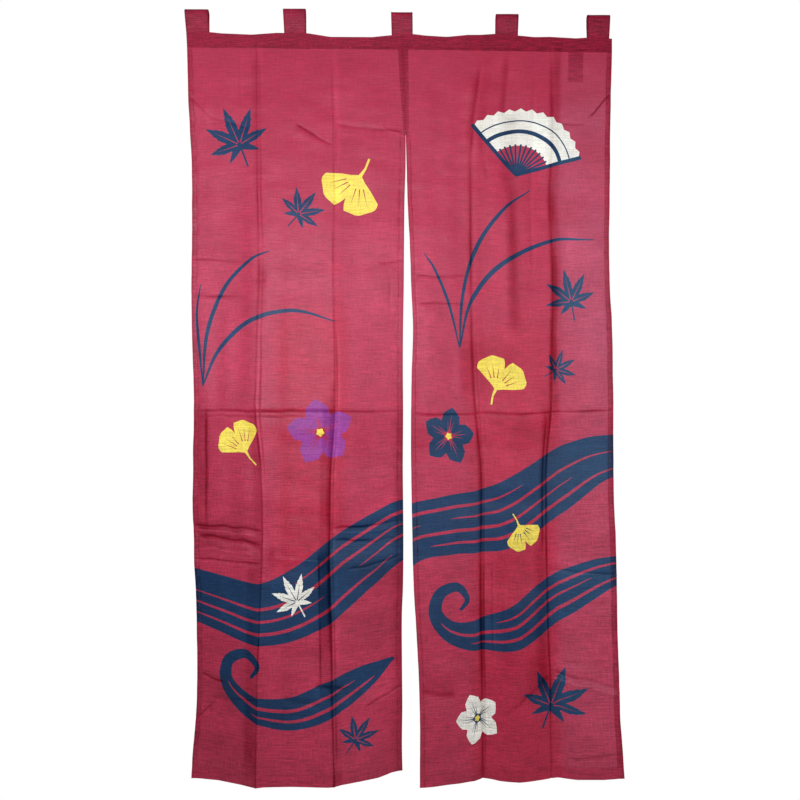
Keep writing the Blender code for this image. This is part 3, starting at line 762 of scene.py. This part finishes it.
def rich_share(panel, x, drop):
    """How much deeper red the crimson is made, from 0 to 1: most in the middle of each panel."""
    if panel.side < 0:
        return window(x, -280, -96, 50, 30) * window(drop, 520, 1240, 120, 160)
    return window(x, 112, 336, 30) * (0.3 + 0.6 * rise((drop - 560) / 120))


# Making pieces

SHARP_ANGLE = math.radians(50)


def set_colours(mesh, name, values):
    """Store one colour for each face on its corners."""
    layer = mesh.color_attributes.new(name, "FLOAT_COLOR", "CORNER")
    counts = np.empty(len(mesh.polygons), dtype=np.int32)
    mesh.polygons.foreach_get("loop_total", counts)
    full = np.column_stack([values, np.ones(len(values))])
    layer.data.foreach_set("color", np.repeat(full, counts, axis=0).ravel().astype(np.float32))


def set_points(mesh, flat, painted_shading):
    """Store each point's flat place, in metres, and its painted shading: painted shade at pressed lines,
    painted light below 0.
    """
    full = np.column_stack([flat * MM, np.zeros(len(flat))])
    layer = mesh.attributes.new("flat", "FLOAT_VECTOR", "POINT")
    layer.data.foreach_set("vector", full.ravel().astype(np.float32))
    if painted_shading is not None:
        layer = mesh.attributes.new("painted_shading", "FLOAT", "POINT")
        layer.data.foreach_set("value", painted_shading.astype(np.float32))


def new_mesh(name, places, faces):
    """A mesh from places in millimetres."""
    mesh = bpy.data.meshes.new(name)
    mesh.from_pydata((places * MM).tolist(), [], faces)
    return mesh


def face_outward(mesh):
    """Turn the faces of closed shapes outward."""
    solid = bmesh.new()
    solid.from_mesh(mesh)
    bmesh.ops.recalc_face_normals(solid, faces=solid.faces)
    solid.to_mesh(mesh)
    solid.free()


def add_object(mesh, material):
    """Link a mesh as a piece of the curtain."""
    mesh.materials.append(material)
    item = bpy.data.objects.new(mesh.name, mesh)
    bpy.context.scene.collection.objects.link(item)
    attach(item, "root")
    return item


def add_sheet(mesh, material, node):
    """Link a sheet of cloth in place of its solid."""
    mesh.shade_smooth()
    mesh.set_sharp_from_angle(angle=SHARP_ANGLE)
    piece = add_object(mesh, material)
    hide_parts(node)
    return piece


def point_normals(places, faces):
    """Normals of a grid's points."""
    corners = places[faces]
    crosses = np.cross(corners[:, 1] - corners[:, 0], corners[:, 2] - corners[:, 0])
    normals = np.zeros_like(places)
    for corner in range(3):
        np.add.at(normals, faces[:, corner], crosses)
    return normals / np.linalg.norm(normals, axis=1)[:, None]


def make_panel(panel, shapes, material):
    """One panel as thin cloth with two faces and a rim, thicker at its hems."""
    flat, faces = cut_cloth(panel, shapes)
    x, drop = flat.T
    front = panel_places(panel, x, drop)
    normals = point_normals(front, faces)
    if normals[:, 1].mean() > 0:
        faces = faces[:, ::-1]
        normals = -normals
    side = np.minimum(np.abs(x), EDGE - np.abs(x))
    hem = ((side <= SIDE_HEM) | (drop >= FOOT)) & (drop > BAND + 2)
    back = front - normals * np.where(hem, HEM_CLOTH, CLOTH)[:, None]
    sides = np.sort(np.concatenate([faces[:, [0, 1]], faces[:, [1, 2]], faces[:, [2, 0]]]), axis=1)
    keys, uses = np.unique(sides, axis=0, return_counts=True)
    rim_keys = {tuple(pair) for pair in keys[uses == 1]}
    count = len(front)
    rim, rim_faces = [], []
    for number, face in enumerate(faces.tolist()):
        for start, end in zip(face, face[1:] + face[:1]):
            if (min(start, end), max(start, end)) in rim_keys:
                rim.append([end, start, start + count, end + count])
                rim_faces.append(number)
    mesh = new_mesh(panel.node + "_cloth", np.concatenate([front, back]),
                    faces.tolist() + (faces[:, ::-1] + count).tolist() + rim)
    middle = flat[faces].mean(axis=1).T
    dyes = face_dyes(shapes, *middle)
    rich = rich_share(panel, *middle) * (dyes[:, 1] == CRIMSON[1])
    build = np.column_stack([layer_share(panel, *middle), thin_share(panel, *middle), rich])
    for name, values in (("dye", dyes), ("build", build)):
        set_colours(mesh, name, np.concatenate([values, values, values[rim_faces]]))
    set_points(mesh, np.tile(flat, (2, 1)), np.tile(painted_light_and_shade(x, drop), 2))
    return add_sheet(mesh, material, panel.node)


# Small sewn pieces: sheets made from two grids

def grid_sheet(name, front, back, flat, painted_shading=None):
    """A closed sheet from grids of points, in millimetres, with its attributes."""
    rows, columns = front.shape[:2]
    count = rows * columns
    index = np.arange(count).reshape(rows, columns)
    quads = np.stack([index[:-1, :-1], index[1:, :-1], index[1:, 1:], index[:-1, 1:]], axis=-1).reshape(-1, 4)
    rim = np.concatenate([index[0, :-1], index[:-1, -1], index[-1, :0:-1], index[:0:-1, 0]])
    after = np.roll(rim, -1)
    walls = np.stack([after, rim, rim + count, after + count], axis=1)
    faces = np.concatenate([quads, quads[:, ::-1] + count, walls])
    mesh = new_mesh(name, np.concatenate([front.reshape(-1, 3), back.reshape(-1, 3)]), faces.tolist())
    face_outward(mesh)
    share = heading_share(np.array([polygon.center.x for polygon in mesh.polygons]) / MM)
    set_colours(mesh, "dye", np.tile(CRIMSON, (len(share), 1)))
    set_colours(mesh, "build", share[:, None] * (1, 0, 0))
    tone = None if painted_shading is None else np.tile(painted_shading.ravel(), 2)
    set_points(mesh, np.tile(flat.reshape(-1, 2), (2, 1)), tone)
    return mesh


def make_heading(material):
    """The facing strip across the back of both panels' tops."""
    x = np.linspace(LEFT_LEVELS[0][1] + 0.5, RIGHT_LEVELS[0][4] - 0.5, 240)
    across, down = np.meshgrid(x, np.linspace(TOP + 0.4, BAND - 0.6, 9))
    pucker = 0.22 * PUCKER(across, down * 3)
    z = height(across, down, LEFT_HEM)
    front, back = [np.stack([across, y + pucker, z], axis=-1) for y in (STRIP_FRONT + 0.3, STRIP_BACK - 0.25)]
    mesh = grid_sheet("heading_facing", front, back, np.stack([across, down], axis=-1))
    return add_sheet(mesh, material, "heading_strip")


def make_label(material):
    """The blank tape label behind the right panel, hung from its upper end."""
    x = np.linspace(LABEL.left, LABEL.right, 14)
    across, down = np.meshgrid(x, np.linspace(LABEL.top, LABEL.bottom, 26))
    share = (down - LABEL.top) / (LABEL.bottom - LABEL.top)
    curl = 0.3 * np.sin(across * 0.21 + 0.4) * share
    y = STRIP_BACK + CLEARANCE + 0.2 + LABEL.lean * share * share + curl
    front, back = [np.stack([across, y + out, -down], axis=-1) for out in (0, 0.6)]
    mesh = grid_sheet("blank_label", front, back, np.stack([across, down], axis=-1))
    return add_sheet(mesh, material, "back_label")


def fork_height(tab):
    """Height of the heading's top at the middle of a tab, where the tab leaves it."""
    middle = (tab.base_left + tab.base_right) / 2
    return float(height(np.array([middle]), np.array([float(TOP)]), LEFT_HEM)[0])


def tab_path(rod, fork, base):
    """The middle line of a tab's band seen from its end, as (y, z): up its front, over and down its back."""
    radius = LOOP_INSIDE + SOLID_CLOTH / 2
    rest = TAB_BASE / 4
    line = [(-rest, base + (fork - base) * step / 6) for step in range(7)]
    for share in [step / 8 for step in range(1, 8)]:
        belly = rest + (radius - rest) * (0.65 * share + 0.35 * rise(share))
        line.append((-belly, fork + (rod - fork) * share))
    line += [(y, rod + z) for y, z in arc(radius, 180, 90, 7)]
    mirrored = [(-y, z) for y, z in line[:-1]]
    return np.array(line + mirrored[::-1])


def make_tab(number, tab, material):
    """One tab: a doubled band bent into a loop, its ends sewn together behind the heading."""
    fork = fork_height(tab)
    base = fork - TAB_SEWN
    path = tab_path(tab.top - LOOP_INSIDE - SOLID_CLOTH, fork, base)
    length = np.concatenate([[0], np.cumsum(np.linalg.norm(np.diff(path, axis=0), axis=1))])
    shares = np.array([0, 0.02, 0.07, 0.12, 0.25, 0.4, 0.5, 0.6, 0.75, 0.88, 0.93, 0.98, 1.0])
    half = TAB_CLOTH * np.array([0.55, 0.9, 1.1, 0.95, 1, 1, 1, 1, 1, 0.95, 1.1, 0.9, 0.55])
    # Painted shade along the tab's folded side edges.
    painted_dark = np.array([0.5, 0.45, 0.1, 0, 0, 0, 0, 0, 0, 0, 0.1, 0.45, 0.5])
    wrinkle = noise(TAB_SEED + number, 14, 12)
    front, back, flat = [], [], []
    for (y, z), (out_y, out_z), run in zip(path, sideways(path), length):
        lean = (z - base) / (tab.top - base)
        left = tab.base_left + (tab.top_left - tab.base_left) * lean
        right = tab.base_right + (tab.top_right - tab.base_right) * lean
        x = left + (right - left) * shares
        bump = 0.35 * wrinkle(x, x * 0 + run) * rise((z - fork) / 15)
        for side, out in ((front, bump + half), (back, bump - half)):
            side.append(np.column_stack([x, y + out_y * out, z + out_z * out]))
        flat.append(np.column_stack([x, x * 0 + run + 200 * number]))
    mesh = grid_sheet(f"tab_loop_{number}", np.array(front), np.array(back), np.array(flat),
                      np.tile(painted_dark, (len(path), 1)))
    return add_sheet(mesh, material, tab.name)


# Stitching

STITCH_PITCH, STITCH_HALF, STITCH_RADIUS = 3.1, 1.15, 0.22
# The eight faces of a thread: its two points at the ends, then the four corners around its middle.
THREAD_FACES = np.array([face for now, after in ((2, 3), (3, 4), (4, 5), (5, 2))
                         for face in ((0, after, now), (1, now, after))])


def threads_along(points, half_length, radius, back=False):
    """The six corners of each short thread along a line of points, a little off the cloth."""
    corners = []
    lift = np.array((0.0, 1.0 if back else -1.0, 0.0))
    for start, end in zip(points[:-1], points[1:]):
        along = (end - start) / np.linalg.norm(end - start)
        side = np.cross(along, lift)
        centre = (start + end) / 2 + lift * radius * 0.5
        corners += [centre - along * half_length, centre + along * half_length]
        corners += [centre + out * radius for out in (side, lift, -side, -lift)]
    return corners


def thread_object(name, corners, material):
    """Join threads into one piece."""
    faces = [face for first in range(0, len(corners), 6) for face in (THREAD_FACES + first).tolist()]
    mesh = new_mesh(name, np.array(corners), faces)
    face_outward(mesh)
    mesh.shade_smooth()
    return add_object(mesh, material)


def make_stitches(panel, material):
    """The stitch lines of a panel's hems, on both faces, and of its heading, on the front."""
    left, *_, right = panel.flat
    inset, foot = SIDE_HEM - 1.6, FOOT + 1.8
    hems = [(x, BAND + 4, x, BOTTOM - 1) for x in (left + inset, right - inset)]
    hems.append((left + 2, foot, right - 2, foot))
    heading = [(left + 1, drop, right - 1, drop) for drop in (BAND - 2.2, TOP + 2.4)]
    corners = []
    for x_1, drop_1, x_2, drop_2 in hems + heading:
        count = max(2, round(math.hypot(x_2 - x_1, drop_2 - drop_1) / STITCH_PITCH))
        line = panel_places(panel, *np.linspace((x_1, drop_1), (x_2, drop_2), count + 1).T)
        corners += threads_along(line, STITCH_HALF, STITCH_RADIUS)
        if (x_1, drop_1, x_2, drop_2) in hems:
            corners += threads_along(line + HEM_DEPTH, STITCH_HALF, STITCH_RADIUS, back=True)
    return thread_object(panel.node + "_stitches", corners, material)


def make_bar_tack(material):
    """Close stitches across the top of the slit."""
    corners = []
    for step in range(9):
        drop = np.array([SEAM_END - 4 + step * 0.7])
        ends = np.concatenate([panel_places(panel, np.array([panel.side * 5.0]), drop) for panel in PANELS])
        corners += threads_along(ends, 5.2, 0.3)
        corners += threads_along(ends + HEM_DEPTH, 5.2, 0.3, back=True)
    return thread_object("slit_bar_tack", corners, material)


def make_tab_stitches(material):
    """Two rows of stitches across each tab's sewn end, seen from behind."""
    corners = []
    for tab in TABS:
        for down in (4, 21):
            place = (TAB_BASE / 2, fork_height(tab) - down)
            line = np.linspace((tab.base_left + 3, *place), (tab.base_right - 3, *place), 14)
            corners += threads_along(line, 1.2, 0.25, back=True)
    return thread_object("tab_stitches", corners, material)


# Materials

class Nodes:
    """The nodes of a material or a world, with short ways to add more."""

    def __init__(self, owner, last):
        owner.use_nodes = True
        self.owner, self.tree = owner, owner.node_tree
        self.last = self.tree.nodes[last]

    def feed(self, node, inputs):
        """Give a node's inputs their values: an output to link, or the socket's own number or colour."""
        for key, value in inputs.items():
            socket = node.inputs[key]
            if isinstance(value, bpy.types.NodeSocket):
                self.tree.links.new(value, socket)
            else:
                socket.default_value = (*value, 1.0) if socket.type == "RGBA" else value

    def finish(self, inputs):
        """Feed the last node, and give back what the nodes belong to."""
        self.feed(self.last, inputs)
        return self.owner

    def add(self, kind, inputs=None, **settings):
        """Add a node and give back its outputs."""
        node = self.tree.nodes.new(kind)
        for key, value in settings.items():
            setattr(node, key, value)
        self.feed(node, inputs or {})
        return node.outputs

    def attribute(self, name, output):
        """A value stored in the mesh."""
        return self.add("ShaderNodeAttribute", attribute_name=name)[output]

    def scaled(self, place, scale):
        """A place scaled for each axis."""
        return self.add("ShaderNodeMapping", {"Vector": place, "Scale": scale})["Vector"]

    def noise(self, place, scale, detail=2.0, rough=0.5):
        """Noise over a place that is scaled for each axis."""
        inputs = {"Vector": self.scaled(place, scale), "Scale": 1.0, "Detail": detail, "Roughness": rough}
        return self.add("ShaderNodeTexNoise", inputs)["Fac"]

    def ramp(self, value, low, high, dark, light):
        """Map a value between two limits to a range."""
        inputs = {"Value": value, "From Min": low, "From Max": high, "To Min": dark, "To Max": light}
        return self.add("ShaderNodeMapRange", inputs)["Result"]

    def maths(self, operation, first, *others):
        """Sum or multiply values, one after the other."""
        for other in others:
            first = self.add("ShaderNodeMath", {0: first, 1: other}, operation=operation)["Value"]
        return first

    def mixed(self, blend, share, first, second):
        """Mix two colours."""
        inputs = {0: share, 6: first, 7: second}
        return self.add("ShaderNodeMix", inputs, data_type="RGBA", blend_type=blend)[2]

    def grey(self, value):
        """A value as a colour."""
        return self.add("ShaderNodeCombineColor", {key: value for key in range(3)})["Color"]

    def bump(self, relief, strength, distance):
        """Small relief, in metres."""
        inputs = {"Height": relief, "Strength": strength, "Distance": distance}
        return self.add("ShaderNodeBump", inputs)["Normal"]


def new_material(name):
    """The nodes of a new material."""
    return Nodes(bpy.data.materials.new(name), "Principled BSDF")


def cloth_material(name):
    """Thin slubbed plain weave: the dye, darker where doubled, partly as painted shade, paler where thin,
    partly as painted light, with streaks, threads and blotches, and painted shade and painted highlights at
    pressed lines.
    """
    nodes = new_material(name)
    place = nodes.attribute("flat", "Vector")
    dye = nodes.attribute("dye", "Color")
    painted_shading = nodes.attribute("painted_shading", "Fac")
    build = nodes.attribute("build", "Color")
    layers, thin, rich = nodes.add("ShaderNodeSeparateColor", {"Color": build})[:3]

    slub = nodes.noise(place, (34, 520, 1))
    warp = nodes.noise(place, (380, 40, 1))
    fine = nodes.noise(place, (900, 1100, 1), 2.0, 0.6)
    streak = nodes.ramp(slub, 0.28, 0.68, 0.72, 1.16)
    long_streak = nodes.ramp(nodes.noise(place, (12, 380, 1)), 0.30, 0.60, 0.88, 1.05)
    warp_streak = nodes.ramp(warp, 0.3, 0.7, 0.87, 1.10)
    patch = nodes.ramp(nodes.noise(place, (11, 16, 1), 4.0, 0.6), 0.3, 0.7, 0.85, 1.12)
    flecks = nodes.ramp(nodes.noise(place, (210, 240, 1), 3.0, 0.6), 0.3, 0.7, 0.86, 1.12)
    grain = nodes.ramp(fine, 0.25, 0.75, 0.92, 1.07)
    tone = nodes.maths("MULTIPLY", streak, long_streak, warp_streak, patch, grain, flecks)
    # The threads show less towards the top, and most where the cloth is doubled.
    drop = nodes.add("ShaderNodeSeparateXYZ", {"Vector": place})["Y"]
    strong = nodes.maths("MAXIMUM", nodes.ramp(drop, 0.10, 1.10, 0.50, 1.0), layers)
    tone = nodes.mixed("MIX", strong, (1.0, 1.0, 1.0), nodes.grey(tone))
    tone = nodes.mixed("MULTIPLY", layers, tone, nodes.grey(nodes.maths("MULTIPLY", streak, flecks)))

    # Paler and hazier where the weave is thin: partly painted light.
    colour = nodes.mixed("ADD", thin, dye, (0.012, 0.034, 0.050))
    colour = nodes.mixed("MULTIPLY", rich, colour, (1.0, 0.64, 0.74))
    # Darker where doubled: partly the colour of two layers, partly painted shade.
    doubled = nodes.mixed("MULTIPLY", 1.0, colour, (0.65, 0.18, 0.42))
    colour = nodes.mixed("MIX", layers, colour, doubled)
    # Painted shade at pressed lines: a deeper, darker red.
    deeper = nodes.add("ShaderNodeGamma", {"Color": colour, "Gamma": 1.5})["Color"]
    painted_crease_shade = nodes.mixed("MULTIPLY", 1.0, deeper, (0.64, 0.64, 0.64))
    colour = nodes.mixed("MIX", painted_shading, colour, painted_crease_shade)
    # Painted highlights where the painted shading is below 0.
    painted_highlight = nodes.mixed("MULTIPLY", 1.0, colour, (1.46, 1.70, 1.62))
    colour = nodes.mixed("MIX", nodes.maths("MULTIPLY", painted_shading, -1.0), colour, painted_highlight)

    relief = slub
    small = nodes.scaled(place, (1400, 1400, 1))
    weave = nodes.add("ShaderNodeTexChecker", {"Vector": small, "Scale": 1.0})["Fac"]
    for value, share in ((warp, 0.35), (fine, 0.3), (weave, 0.12)):
        relief = nodes.maths("ADD", relief, nodes.maths("MULTIPLY", value, share))
    return nodes.finish({
        "Base Color": nodes.mixed("MULTIPLY", 1.0, colour, tone),
        "Normal": nodes.bump(relief, 0.55, 0.0006),
        "Roughness": nodes.ramp(slub, 0.3, 0.7, 0.49, 0.42),
        "Sheen Weight": 0.03, "Sheen Roughness": 0.45, "Sheen Tint": (1.0, 0.80, 0.84),
        "Specular IOR Level": nodes.ramp(painted_shading, 0.0, 0.6, 0.44, 0.10), "Specular Tint": (0.66, 0.72, 0.86)})


def thread_material(name, colour):
    """Sewing thread with a little twist."""
    nodes = new_material(name)
    twist = nodes.noise(nodes.add("ShaderNodeTexCoord")["Object"], (1800, 1800, 1800))
    colour = nodes.mixed("MULTIPLY", 1.0, colour, nodes.grey(nodes.ramp(twist, 0.3, 0.7, 0.75, 1.15)))
    return nodes.finish({"Base Color": colour, "Normal": nodes.bump(twist, 0.4, 0.0002),
                         "Roughness": 0.6, "Sheen Weight": 0.2})


def tape_material(name):
    """Undyed woven tape."""
    nodes = new_material(name)
    place = nodes.attribute("flat", "Vector")
    rib = nodes.noise(place, (120, 2200, 1))
    ribs = nodes.ramp(rib, 0.3, 0.7, 0.86, 1.05)
    stains = nodes.ramp(nodes.noise(place, (60, 60, 1), 3.0), 0.3, 0.7, 0.94, 1.03)
    tone = nodes.grey(nodes.maths("MULTIPLY", ribs, stains))
    colour = nodes.mixed("MULTIPLY", 1.0, (0.72, 0.67, 0.60), tone)
    return nodes.finish({"Base Color": colour, "Normal": nodes.bump(rib, 0.5, 0.0003),
                         "Roughness": 0.8, "Sheen Weight": 0.15})


# The studio

Light = namedtuple("Light", "name place target size power")
LIGHTS = [
    Light("key", (-0.31, -1.25, -0.46), (-0.08, 0, -0.52), (0.5, 0.4), 13.4),
    Light("right", (1.1, -1.2, -0.80), (-0.1, 0, -0.90), (0.7, 0.9), 7.8),
    Light("back", (0.6, 1.7, -0.30), (0, 0, -0.75), (1.0, 1.0), 22.0)]
WORLD_LIGHT = 0.16
EYE = (0, -1.604, -0.7678)
FLOOR_RADIUS, FLOOR_Z = 0.85, -2.0


def area_light(light):
    """A soft light that faces a point, unseen by the camera."""
    data = bpy.data.lights.new(light.name, "AREA")
    data.shape = "RECTANGLE"
    data.size, data.size_y = light.size
    data.energy = light.power
    item = bpy.data.objects.new(light.name, data)
    item.location = light.place
    item.rotation_mode = "QUATERNION"
    item.rotation_quaternion = (Vector(light.target) - Vector(light.place)).to_track_quat("-Z", "Y")
    item.visible_camera = False
    bpy.context.scene.collection.objects.link(item)


def make_world():
    """A white surround that lights softly."""
    nodes = Nodes(bpy.data.worlds.new("studio"), "Background")
    seen = nodes.add("ShaderNodeLightPath")["Is Camera Ray"]
    strength = nodes.ramp(seen, 0.0, 1.0, WORLD_LIGHT, 1.0)
    bpy.context.scene.world = nodes.finish({"Color": (1, 1, 1), "Strength": strength})


def make_floor():
    """A plain pale round floor below the curtain."""
    bpy.ops.mesh.primitive_circle_add(
        vertices=96, radius=FLOOR_RADIUS, fill_type="NGON", location=(0, 0, FLOOR_Z))
    floor = bpy.context.object
    floor.name = "studio_floor"
    pale = new_material("pale_floor").finish({"Base Color": (0.82, 0.81, 0.79), "Roughness": 0.7})
    floor.data.materials.append(pale)


def make_camera():
    """The photo's view: square on, level with the curtain's middle, 1.6 m away."""
    data = bpy.data.cameras.new("camera")
    data.sensor_width = 36
    data.lens = 36
    camera = bpy.data.objects.new("camera", data)
    camera.location = EYE
    camera.rotation_euler = (math.radians(90), 0, 0)
    bpy.context.scene.collection.objects.link(camera)
    bpy.context.scene.camera = camera


def make_studio():
    """Camera, lights, surround and floor."""
    bpy.context.scene.view_settings.view_transform = "Standard"
    make_camera()
    make_world()
    make_floor()
    for light in LIGHTS:
        area_light(light)


make_studio()
cloth = cloth_material("slubbed_cloth")
thread = thread_material("thread", (0.30, 0.03, 0.075))
shapes = design()
panel_pieces = [make_panel(panel, shapes, cloth) for panel in PANELS]
heading = make_heading(cloth)
tabs = [make_tab(number, tab, cloth) for number, tab in enumerate(TABS, start=1)]
label = make_label(tape_material("label_tape"))
stitches = [make_stitches(panel, thread) for panel in PANELS]
tack = make_bar_tack(thread)
make_tab_stitches(thread)
